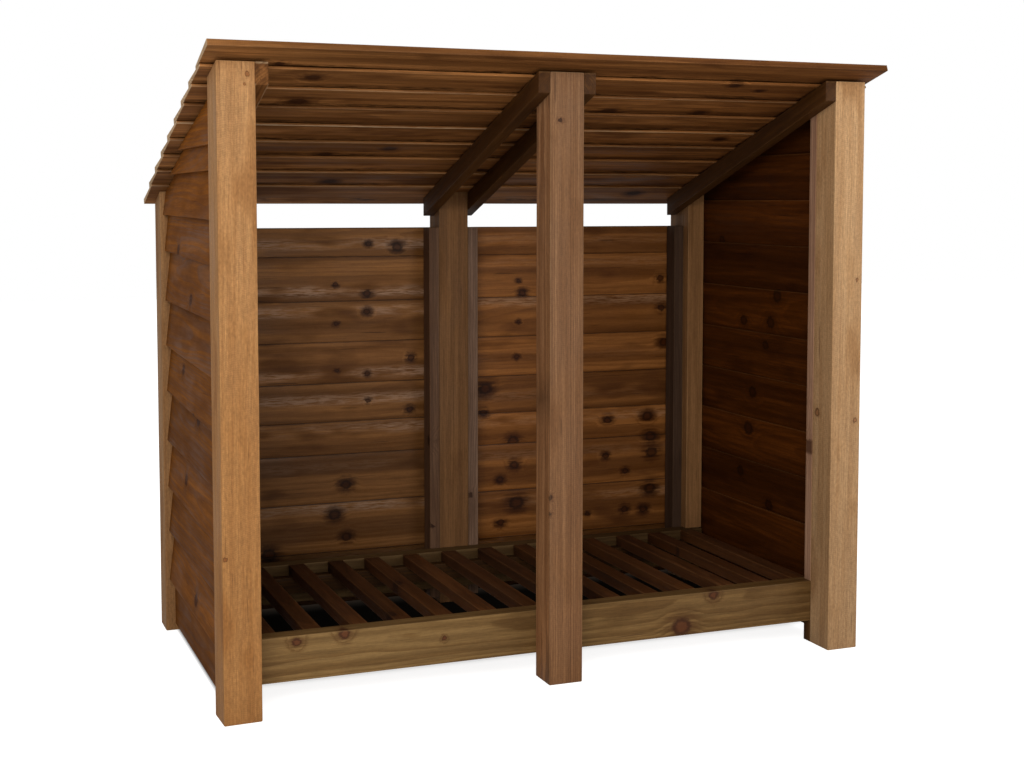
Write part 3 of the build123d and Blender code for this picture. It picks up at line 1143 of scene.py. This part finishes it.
@dataclass
class Posts:
    """Six square posts with tops that follow the roof."""

    ease: float = 0.0022
    sway: float = 0.0012
    # Painted light: the front posts are made lighter towards the top, and the centre post's left face lighter
    # than its front.
    looks: tuple[Look, ...] = (
        Look("post_front_left", Stain.PALE_POST, 11, 0.82, 0.9, lightness_slope=0.09, warm_fade=-0.35, turn=2.2),
        Look(
            "post_front_centre", Stain.BROWN_POST, 12, 0.83, 0.2, lightness_slope=0.07, warm_fade=-0.2, painted_side_light=1.6,
            sawing=Sawing.QUARTER,
        ),
        Look("post_front_right", Stain.PALE_POST, 13, 0.91, 0.02, lightness_slope=0.17),
        Look("post_back_left", Stain.PALE_POST, 14, 0.68, 0.6),
        Look("post_back_centre", Stain.BACK_POST, 15, 0.78, 0.3),
        Look("post_back_right", Stain.BACK_POST, 16, 0.8, 0.2),
    )

    def timbers(self) -> list[Timber]:
        """Lists the posts as timbers.

        Returns:
            The posts, the front ones first.
        """
        return [
            look.timber("post_timber", Z_AXIS, X_AXIS, UNDER_ROOF, ease=self.ease, sway=self.sway)
            for look in self.looks
        ]


@dataclass
class Rafters:
    """Four rafters on the posts' inner faces, cut plumb at both ends."""

    depth: float = 0.040
    looks: tuple[Look, ...] = (
        Look("rafter_left", Stain.ROOF, 21, 0.7, 0.3),
        Look("rafter_centre_left", Stain.FRAME, 22, 0.78, 0.3),
        Look("rafter_centre_right", Stain.FRAME, 23, 0.7, 0.3),
        Look("rafter_right", Stain.FRAME, 24, 0.72, 0.3),
    )

    def timbers(self) -> list[Timber]:
        """Lists the rafters as timbers."""
        underside = (FRONT_TOP - ROOF_UP * self.depth, -ROOF_UP)
        return [look.timber("frame_timber", DOWN_SLOPE, X_AXIS, UNDER_ROOF, underside) for look in self.looks]


@dataclass
class Battens:
    """Upright battens that carry the boards of the walls."""

    side_looks: tuple[Look, ...] = (
        Look("batten_left_front", Stain.BATTEN, 31, 1.0, 0.2),
        Look("batten_left_back", Stain.BATTEN, 32, 0.9, 0.4),
        Look("batten_right_front", Stain.BATTEN, 33, 2.6, 0.1),
        Look("batten_right_back", Stain.BACK_POST, 34, 1.3, 0.1),
    )
    back_looks: tuple[Look, ...] = (
        Look("batten_back_1", Stain.BATTEN, 36, 0.8, 0.5),
        Look("batten_back_2", Stain.BATTEN, 37, 0.75, 0.55),
        Look("batten_back_3", Stain.BATTEN, 38, 0.95, 0.05),
        Look("batten_back_4", Stain.BATTEN, 39, 0.45, 0.3),
    )

    def timbers(self) -> list[Timber]:
        """Lists the battens as timbers."""
        sides = [look.timber("frame_timber", Z_AXIS, X_AXIS, UNDER_ROOF) for look in self.side_looks]
        return sides + [look.timber("frame_timber", Z_AXIS, Y_AXIS) for look in self.back_looks]


@dataclass
class FloorFrame:
    """Sills on short feet, ledgers on their inner faces and the slats of the floor."""

    sill_looks: tuple[Look, ...] = (
        # Both sills are darker towards the right.
        Look("sill_front", Stain.SILL, 41, 0.87, 0.12, -0.17, 0.2, sawing=Sawing.FLAT),
        Look("sill_back", Stain.SILL, 42, 0.5, 0.12, -0.17, 0.2, sawing=Sawing.FLAT),
    )
    ledger_looks: tuple[Look, ...] = (
        Look("ledger_front", Stain.FRAME, 49, 0.5),
        Look("ledger_back", Stain.FRAME, 50, 0.5),
    )
    sill_ease: float = 0.003
    foot_width: float = 0.0388
    foot_depth: float = 0.025
    foot_light: float = 0.9
    slat_count: int = 14
    slat_width: float = 0.036
    slat_warm: float = 0.5
    slat_light: float = 0.7
    slat_lights: tuple[float, ...] = (
        0.9, 1.0, 1.15, 0.95, 1.25, 1.35, 1.1, 0.9, 1.0, 1.2, 1.3, 1.2, 1.4, 1.35,
    )
    slat_shifts: tuple[float, ...] = (
        0.0, -0.0013, 0.0015, 0.0016, -0.0033, -0.0004, 0.0026,
        0.0036, 0.004, 0.0026, -0.0014, 0.004, -0.0003, 0.0,
    )

    def timbers(self) -> list[Timber]:
        """Lists the floor's timbers.

        Returns:
            The sills, their feet, the ledgers and the slats as timbers.
        """
        sills = [look.timber("sill_timber", X_AXIS, Z_AXIS, ease=self.sill_ease) for look in self.sill_looks]
        ledgers = [look.timber("frame_timber", X_AXIS, Z_AXIS, sway=0.0) for look in self.ledger_looks]
        return sills + self.feet() + ledgers + self.slats()

    def feet(self) -> list[Timber]:
        """Lists the short feet under the ends of both sills.

        Returns:
            The feet as timbers.
        """
        low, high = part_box("sill_feet")
        columns = (low.x, high.x - self.foot_width)
        rows = (low.y, high.y - self.foot_depth)
        made = []
        for index, (x, y) in enumerate((x, y) for y in rows for x in columns):
            made.append(Timber(
                f"sill_foot_{index + 1}", Vector((x, y, low.z)),
                Vector((x + self.foot_width, y + self.foot_depth, high.z)),
                Stain.FRAME, "sill_timber", Z_AXIS, X_AXIS, sawing=Sawing.RIFT, light=self.foot_light,
                seed=44 + index, nodes=() if index else ("sill_feet",),
            ))
        return made

    def slats(self) -> list[Timber]:
        """Lists the slats, each a few millimetres off the even spacing.

        Returns:
            The slats as timbers, from the left.
        """
        low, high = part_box("floor_slats")
        step = (high.x - low.x - self.slat_width) / (self.slat_count - 1)
        made = []
        for index in range(self.slat_count):
            x = low.x + step * index + self.slat_shifts[index]
            made.append(Timber(
                f"floor_slat_{index + 1}", Vector((x, low.y, low.z)),
                Vector((x + self.slat_width, high.y, high.z)),
                Stain.SLAT, "slat_timber", Y_AXIS, X_AXIS, sawing=(Sawing.RIFT, Sawing.FLAT)[index % 2],
                light=self.slat_lights[index] * self.slat_light, warm=self.slat_warm, seed=60 + index,
                ease=0.002, sway=0.0006, nodes=() if index else ("floor_slats",),
            ))
        return made


def face_plane(first: Vector, second: Vector, run: Vector, inside: Vector, inset: float = 0.0) -> Plane:
    """Gives the plane of a board's face.

    Args:
        first: A corner of the board's section.
        second: The next corner.
        run: The way that the board runs.
        inside: A point inside the section.
        inset: How far the face is moved inwards.

    Returns:
        A point of the plane and the way out of the board.
    """
    outward = (second - first).cross(run).normalized()
    if outward.dot(inside - first) > 0:
        outward = -outward
    return (first - outward * inset, outward)


@dataclass(frozen=True)
class BoardSection:
    """Section of the tapered boards of the walls and the roof."""

    width: float = 0.122
    thin: float = 0.005
    butt: float = 0.012

    def lapped(self, lift: float, overlap: float) -> float:
        """Gives how far a board's thick edge stands off where it laps the board that stands off by lift."""
        return self.thin + (lift + self.butt - self.thin) * overlap / self.width

    def wall_faces(self, foot: Vector, out: Vector, up: Vector, run: Vector, lift: float) -> list[Plane]:
        """Gives the inner and the outer face of a wall board.

        Args:
            foot: Point of the battens' plane at the board's lower edge.
            out: The way out of the wall.
            up: The way up the board.
            run: The way that the board runs.
            lift: How far its lower edge stands off the battens.

        Returns:
            The two planes.
        """
        low_inner, low_outer = foot + out * lift, foot + out * (lift + self.butt)
        high_inner = foot + up * self.width
        high_outer = high_inner + out * self.thin
        inside = (low_inner + low_outer + high_inner + high_outer) / 4
        faces = ((low_inner, high_inner), (low_outer, high_outer))
        return [face_plane(first, second, run, inside) for first, second in faces]


BOARD = BoardSection()
BOARD_EASE = 0.0009


@dataclass
class SideWall:
    """A side wall of tapered boards over a flat board at the foot."""

    side: Side
    butts: tuple[tuple[float, float], ...]
    stain: Stain
    lights: tuple[float, ...]
    seed: int
    warm: float = 0.0
    painted_outer_light: float = 1.0
    foot_share: float = 0.9
    roof_gap: float = 0.001
    spare: float = 0.01

    def foot_board(self, label: str, out: Vector) -> Timber:
        """Gives the flat board at the foot.

        Args:
            label: "left" or "right".
            out: The way out of the wall.

        Returns:
            The board.
        """
        low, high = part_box(f"kick_board_{label}")
        return Timber(
            f"kick_board_{label}_timber", low, high, self.stain, "cladding_timber", Y_AXIS, Z_AXIS,
            light=self.lights[0] * self.foot_share, warm=self.warm, seed=self.seed, facing=out,
            painted_outer_light=self.painted_outer_light, sway=0.0006, nodes=(f"kick_board_{label}",),
        )

    def timbers(self) -> list[Timber]:
        """Lists the wall's boards from the lowest up.

        Returns:
            The boards as timbers.
        """
        label = self.side.name.lower()
        sign = self.side.value
        low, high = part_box(f"cladding_{label}")
        plane_x, outer_x = (high.x, low.x) if sign < 0 else (low.x, high.x)
        out = Vector((float(sign), 0.0, 0.0))
        made = [self.foot_board(label, out)]
        lift = abs(outer_x - plane_x) - BOARD.butt
        before = None
        for index, (front, back) in enumerate(self.butts):
            middle = (front + back) / 2
            if before is not None:
                lift = BOARD.lapped(lift, BOARD.width - (middle - before))
            before = middle
            rise = (back - front) / (high.y - low.y)
            run = Vector((0.0, 1.0, rise)).normalized()
            up = Vector((0.0, -rise, 1.0)).normalized()
            foot = Vector((plane_x, low.y, front))
            near_x, far_x = sorted((plane_x, plane_x + sign * (lift + BOARD.butt + 0.002)))
            made.append(Timber(
                f"side_board_{label}_{index + 1}",
                Vector((near_x, low.y, min(front, back) - self.spare)),
                Vector((far_x, high.y, max(front, back) + BOARD.width + self.spare)),
                self.stain, "cladding_timber", Y_AXIS, Z_AXIS,
                cuts=[
                    *BOARD.wall_faces(foot, out, up, run, lift), (foot, -up), (foot + up * BOARD.width, up),
                    (FRONT_TOP - ROOF_UP * self.roof_gap, ROOF_UP),
                ],
                sawing=(Sawing.FLAT, Sawing.RIFT, Sawing.FLAT)[index % 3], seed=self.seed + index + 1,
                light=self.lights[(index + 1) % len(self.lights)], warm=self.warm, facing=out,
                painted_outer_light=self.painted_outer_light, ease=BOARD_EASE, sway=0.0009,
                nodes=() if index else (f"cladding_{label}",),
            ))
        return made


@dataclass
class BackWall:
    """The back wall of one bay, which stops short of the roof."""

    side: Side
    butts: tuple[float, ...]
    lights: tuple[float, ...]
    warm: float
    sheens: tuple[tuple[float, float], ...]
    seed: int

    def timbers(self) -> list[Timber]:
        """Lists the wall's boards from the lowest up.

        Returns:
            The boards as timbers.
        """
        label = self.side.name.lower()
        low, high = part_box(f"cladding_back_{label}")
        sawings = (Sawing.FLAT, Sawing.HEART, Sawing.FLAT, Sawing.RIFT)
        made = []
        lift = 0.0
        for index, foot in enumerate(self.butts):
            if index:
                lift = BOARD.lapped(lift, BOARD.width - (foot - self.butts[index - 1]))
            corner = Vector((low.x, low.y, foot))
            reach = low.y + lift + BOARD.butt + 0.001
            # Each board's painted highlight band: how far below the upper edge it lies and how strong it is.
            sheen_at, sheen = self.sheens[index]
            made.append(Timber(
                f"back_board_{label}_{index + 1}",
                corner, Vector((high.x, reach, min(foot + BOARD.width, high.z))),
                Stain.BACK_WALL, "cladding_timber", X_AXIS, Z_AXIS,
                cuts=BOARD.wall_faces(corner, Y_AXIS, Z_AXIS, X_AXIS, lift),
                sawing=sawings[(index + self.seed) % 4], seed=self.seed + index, light=self.lights[index],
                warm=self.warm, ease=BOARD_EASE, sway=0.0008, sheen_at=sheen_at, sheen=sheen,
                nodes=() if index else (f"cladding_back_{label}",),
            ))
        return made


@dataclass
class Roof:
    """Overlapping tapered boards that fall to the back, with the top one turned round."""

    count: int = 9
    front_overhang: float = 0.050
    setback: float = 0.031
    top_front: float = 0.013
    top_back: float = 0.007
    top_lift: float = 0.0035
    back_reach: float = 0.759
    inset: float = 0.0004
    spare: float = 0.0005
    lights: tuple[float, ...] = (1.0, 1.05, 1.1, 1.0, 1.1, 0.95, 1.05, 0.9, 1.0)
    edges: tuple[float, ...] = (0.05, 0.1, 0.4, 0.2, 0.9, 0.4, 0.2, 0.5, 0.45)

    def at(self, along: float, above: float) -> Vector:
        """Gives the place at a distance down the slope and a height above the rafters."""
        return FRONT_TOP + DOWN_SLOPE * along + ROOF_UP * above

    def section(self, number: int) -> tuple[Vector, ...]:
        """Gives the four corners of a board's section, from its lower uphill one round.

        Args:
            number: The board's number, 1 at the front.

        Returns:
            Lower corner uphill, lower corner downhill, upper corner downhill, upper corner uphill.
        """
        length = self.back_reach / math.cos(ROOF_ANGLE)
        step = (length - BOARD.width - self.setback) / (self.count - 2)
        lifts = [0.0]
        for _ in range(self.count - 1):
            lifts.insert(0, BOARD.lapped(lifts[0], BOARD.width - step))
        if number == 1:
            front = -self.front_overhang / math.cos(ROOF_ANGLE)
            back = front + BOARD.width
            slope = (lifts[1] + BOARD.butt - BOARD.thin) / BOARD.width
            rest = BOARD.thin + (back - self.setback) * slope
            return (self.at(front, self.top_lift), self.at(back, rest),
                    self.at(back, rest + self.top_back), self.at(front, self.top_lift + self.top_front))
        start = self.setback + step * (number - 2)
        lift = lifts[number - 1]
        return (self.at(start, 0.0), self.at(start + BOARD.width, lift),
                self.at(start + BOARD.width, lift + BOARD.butt), self.at(start, BOARD.thin))

    def timbers(self) -> list[Timber]:
        """Lists the roof's boards from the front.

        Returns:
            The boards as timbers.
        """
        spare = Vector((0.0, self.spare, self.spare))
        made = []
        for number in range(1, self.count + 1):
            low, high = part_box(f"roof_board_{number}")
            corners = self.section(number)
            inside = sum(corners, Vector()) / 4
            # The first and the last board stay inside the solids' box as they sway.
            inset = self.inset if number in (1, self.count) else 0.0
            made.append(Timber(
                f"roof_board_{number}_timber", low - spare, high + spare, Stain.ROOF, "roof_timber",
                X_AXIS, DOWN_SLOPE,
                cuts=[face_plane(corners[i], corners[(i + 1) % 4], X_AXIS, inside, inset) for i in range(4)],
                sawing=(Sawing.FLAT, Sawing.RIFT, Sawing.FLAT, Sawing.HEART)[number % 4], seed=200 + number,
                # Each board is darker towards the right; its band near where the next board laps is a painted
                # shadow.
                light=self.lights[number - 1], warm=0.25, lightness_slope=-0.25, warm_fade=0.35,
                edge=self.edges[number - 1], sheen_at=0.033, sheen=1.2, ease=BOARD_EASE, sway=0.0009,
                nodes=(f"roof_board_{number}",),
            ))
        return made


@dataclass
class Studio:
    """Pale floor and backdrop, soft lamps and the camera at the photograph's angle."""

    place: Triple = (-1.1902, -3.0958, 0.9631)
    yaw: float = 21.612
    pitch: float = 4.025
    roll: float = -0.029
    lens: float = 53.566
    shift: tuple[float, float] = (-0.00509, -0.07432)
    glow: float = 0.85
    room_light: float = 0.45

    def camera(self) -> None:
        """Places the camera."""
        data = bpy.data.cameras.new("view")
        data.sensor_width = 36.0
        data.lens = self.lens
        data.shift_x, data.shift_y = self.shift
        data.clip_start, data.clip_end = 0.05, 60.0
        data.dof.use_dof = False
        made = bpy.data.objects.new("view", data)
        made.location = self.place
        made.rotation_euler = [math.radians(turn) for turn in (90.0 - self.pitch, self.roll, -self.yaw)]
        bpy.context.scene.collection.objects.link(made)
        bpy.context.scene.camera = made

    def paper(self) -> bpy.types.Material:
        """Gives the floor's finish: white to the camera, with painted shade beneath the store.

        Returns:
            The material.
        """
        made = bpy.data.materials.new("studio_paper")
        made.use_nodes = True
        made.node_tree.nodes.clear()
        wire = Wiring(made.node_tree)
        x, y, _ = wire.parts(wire.node("TexCoord").outputs["Object"])
        aside = wire.math("MAXIMUM", wire.ramp(x, -0.650, -0.664), wire.ramp(x, 0.665, 0.70))
        ahead = wire.ramp(y, -0.08, -0.17)
        behind = wire.ramp(y, 0.45, 0.54)
        open_floor = wire.math("MAXIMUM", aside, wire.math("MAXIMUM", ahead, behind))
        to_camera = wire.node("LightPath").outputs["Is Camera Ray"]
        seen = wire.math("MULTIPLY", to_camera, open_floor)
        # Painted shade: to the camera the floor under the store takes a dark colour instead of white.
        painted_shade_share = wire.math("SUBTRACT", to_camera, seen)
        # The painted shade is lighter behind the store and by its right side, as a soft shadow.
        outside = wire.math("MAXIMUM", wire.ramp(y, 0.37, 0.45), wire.ramp(x, 0.66, 0.70))
        shade = wire.mix(outside, (0.02, 0.017, 0.014, 1.0), (0.09, 0.068, 0.05, 1.0))
        matt = wire.node("BsdfDiffuse")
        wire.feed(matt.inputs["Color"], wire.mix(painted_shade_share, (0.80, 0.80, 0.80, 1.0), shade))
        glow = wire.node("Emission")
        glow.inputs["Color"].default_value = (1.0, 1.0, 1.0, 1.0)
        wire.feed(glow.inputs["Strength"], wire.math("MULTIPLY", seen, self.glow))
        both = wire.node("AddShader")
        wire.feed(both.inputs[0], matt.outputs[0])
        wire.feed(both.inputs[1], glow.outputs[0])
        wire.feed(wire.node("OutputMaterial").inputs["Surface"], both.outputs[0])
        return made

    def floor(self) -> None:
        """Lays the floor."""
        bpy.ops.object.select_all(action="DESELECT")
        bpy.ops.mesh.primitive_plane_add(size=24.0, location=(0.0, 0.0, -0.0005))
        made = bpy.context.object
        made.name = "studio_floor"
        made.data.materials.append(self.paper())

    def lamp(self, name: str, place: Triple, target: Triple, size: float, power: float, tint: Triple) -> None:
        """Adds a large soft lamp.

        Args:
            name: Name of the lamp.
            place: Where it hangs.
            target: Where it points.
            size: Side of its square, in metres.
            power: Power in watts.
            tint: Colour of its light.
        """
        data = bpy.data.lights.new(name, "AREA")
        data.size = size
        data.energy = power
        data.color = tint
        made = bpy.data.objects.new(name, data)
        made.location = place
        made.rotation_euler = (Vector(target) - Vector(place)).to_track_quat("-Z", "Y").to_euler()
        bpy.context.scene.collection.objects.link(made)

    def room(self) -> None:
        """Gives the room an even light, which looks white to the camera."""
        world = bpy.data.worlds.new("studio")
        bpy.context.scene.world = world
        world.use_nodes = True
        world.node_tree.nodes.clear()
        wire = Wiring(world.node_tree)
        seen = wire.node("LightPath").outputs["Is Camera Ray"]
        back = wire.node("Background")
        back.inputs["Color"].default_value = (1.0, 1.0, 1.0, 1.0)
        strength = wire.math("MULTIPLY_ADD", seen, 1.0 - self.room_light, self.room_light)
        wire.feed(back.inputs["Strength"], strength)
        wire.feed(wire.node("OutputWorld").inputs["Surface"], back.outputs[0])

    def build(self) -> None:
        """Sets the stage, lit mostly from the front and the left."""
        self.camera()
        self.floor()
        self.room()
        self.lamp("front_left_lamp", (-2.6, -4.2, 2.6), (0.0, 0.0, 0.6), 2.4, 100.0, (1.0, 0.97, 0.93))
        self.lamp("front_right_lamp", (3.0, -3.6, 1.6), (0.0, 0.0, 0.5), 2.4, 42.0, (1.0, 0.98, 0.96))
        self.lamp("low_front_lamp", (-0.2, -4.0, 0.5), (0.0, 0.0, 0.9), 1.8, 22.0, (1.0, 0.96, 0.9))
        bpy.context.scene.view_settings.view_transform = "Standard"


@dataclass
class LogStore:
    """The whole store, in the order in which it is put together."""

    back_butts: tuple[float, ...] = (0.015, 0.131, 0.246, 0.323, 0.414, 0.511, 0.607, 0.711, 0.778)
    lowest_butt: tuple[float, float] = (0.1165, 0.1165)
    left_butts: tuple[tuple[float, float], ...] = (
        (0.217, 0.227), (0.317, 0.3276), (0.420, 0.432), (0.525, 0.542), (0.629, 0.643),
        (0.7365, 0.743), (0.840, 0.853), (0.927, 0.932), (1.019, 1.019), (1.066, 1.066),
    )
    right_start: float = 0.118
    right_course: float = 0.1035
    right_boards: int = 10

    def walls(self) -> list[SideWall | BackWall]:
        """Lists the four walls, each with the lightness of its boards from the lowest up.

        Returns:
            The walls.
        """
        right = [self.right_start + self.right_course * i for i in range(1, self.right_boards)]
        return [
            SideWall(
                Side.LEFT, (self.lowest_butt, *self.left_butts), Stain.OUTER_WALL,
                lights=(1.0, 1.05, 0.92, 1.05, 0.9, 1.0, 1.0, 1.12, 1.2, 1.28, 1.3, 1.3), seed=300,
            ),
            SideWall(
                Side.RIGHT, (self.lowest_butt, *zip(right, right)), Stain.SHADED_SIDE_WALL,
                # Faces that look out are painted 2.1 times lighter than the painted shade of the inner face.
                lights=(0.78, 0.92, 0.7, 0.97, 0.8), seed=330, warm=1.0, painted_outer_light=2.1,
            ),
            BackWall(
                Side.LEFT, self.back_butts, lights=(0.6, 0.62, 0.62, 0.8, 0.78, 0.93, 0.85, 0.88, 0.78),
                warm=0.12, seed=360, sheens=(
                    (0.02, 0.5), (0.012, 1.0), (0.03, 0.2), (0.02, 0.7), (0.039, 0.8), (0.076, 0.8),
                    (0.024, 1.2), (0.081, 1.2), (0.038, 1.0),
                ),
            ),
            BackWall(
                Side.RIGHT, self.back_butts, lights=(0.72, 0.8, 0.85, 0.98, 0.78, 0.95, 0.84, 0.92, 0.86),
                warm=0.68, seed=390, sheens=(
                    (0.02, 0.4), (0.03, 0.7), (0.03, 0.3), (0.02, 0.6), (0.05, 0.3), (0.05, 0.1),
                    (0.012, 0.8), (0.02, 0.3), (0.03, 0.3),
                ),
            ),
        ]

    def build(self, finishes: dict[Stain, bpy.types.Material]) -> int:
        """Builds the store.

        Args:
            finishes: Material of each stain.

        Returns:
            How many timbers were built.
        """
        assemblies = [Posts(), Rafters(), Battens(), FloorFrame(), *self.walls(), Roof()]
        timbers = [timber for assembly in assemblies for timber in assembly.timbers()]
        for timber in timbers:
            made = timber.build(finishes)
            LOG.info("%s: %d faces", made.name, len(made.data.polygons))
        return len(timbers)


def main() -> None:
    """Builds the finishes, the store and the studio."""
    groups = TimberGroups()
    finishes = {stain: stain.value.material(groups) for stain in Stain}
    count = LogStore().build(finishes)
    LOG.info("%d timbers", count)
    Studio().build()


if __name__ == "__main__":
    main()
